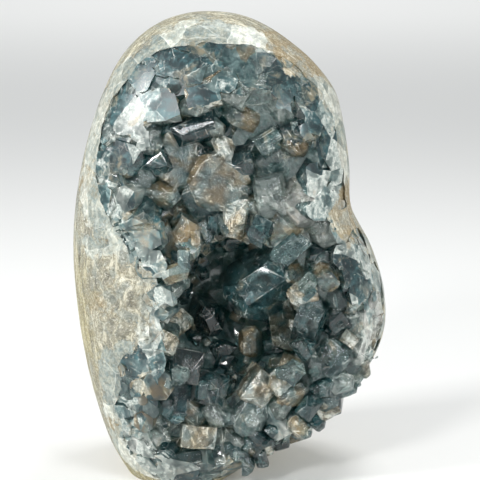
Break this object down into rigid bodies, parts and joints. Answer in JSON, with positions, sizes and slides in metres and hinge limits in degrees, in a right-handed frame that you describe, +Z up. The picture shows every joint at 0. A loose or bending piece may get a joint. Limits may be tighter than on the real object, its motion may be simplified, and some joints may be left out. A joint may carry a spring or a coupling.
{
  "type": "celestite geode half",
  "caption": "Upright half of a geode: a smooth-sided pale stone with an open hollow lined with blocky grey-blue translucent crystals, resting on a flat cut base.",
  "frame": {"origin": "on the surface that the cut base stands on, under the middle of the stone's box", "axes": "+Z up, the stone's height; -Y is the open front with the crystals; +X to the right of someone looking at the front"},
  "size_m": [0.1209, 0.0774, 0.177],
  "materials": {
    "matrix_rock": "pale cream rock with cut grey-blue crystal patches and ochre stains, ground and satin on the sides, rough and matt at the back",
    "celestite": "clear to cloudy grey-blue crystal with glossy flat faces, polished where it is cut flush"
  },
  "bodies": {
    "root": {"stone": "matrix_rock", "crystal_crust": "celestite"}
  },
  "joints": []
}
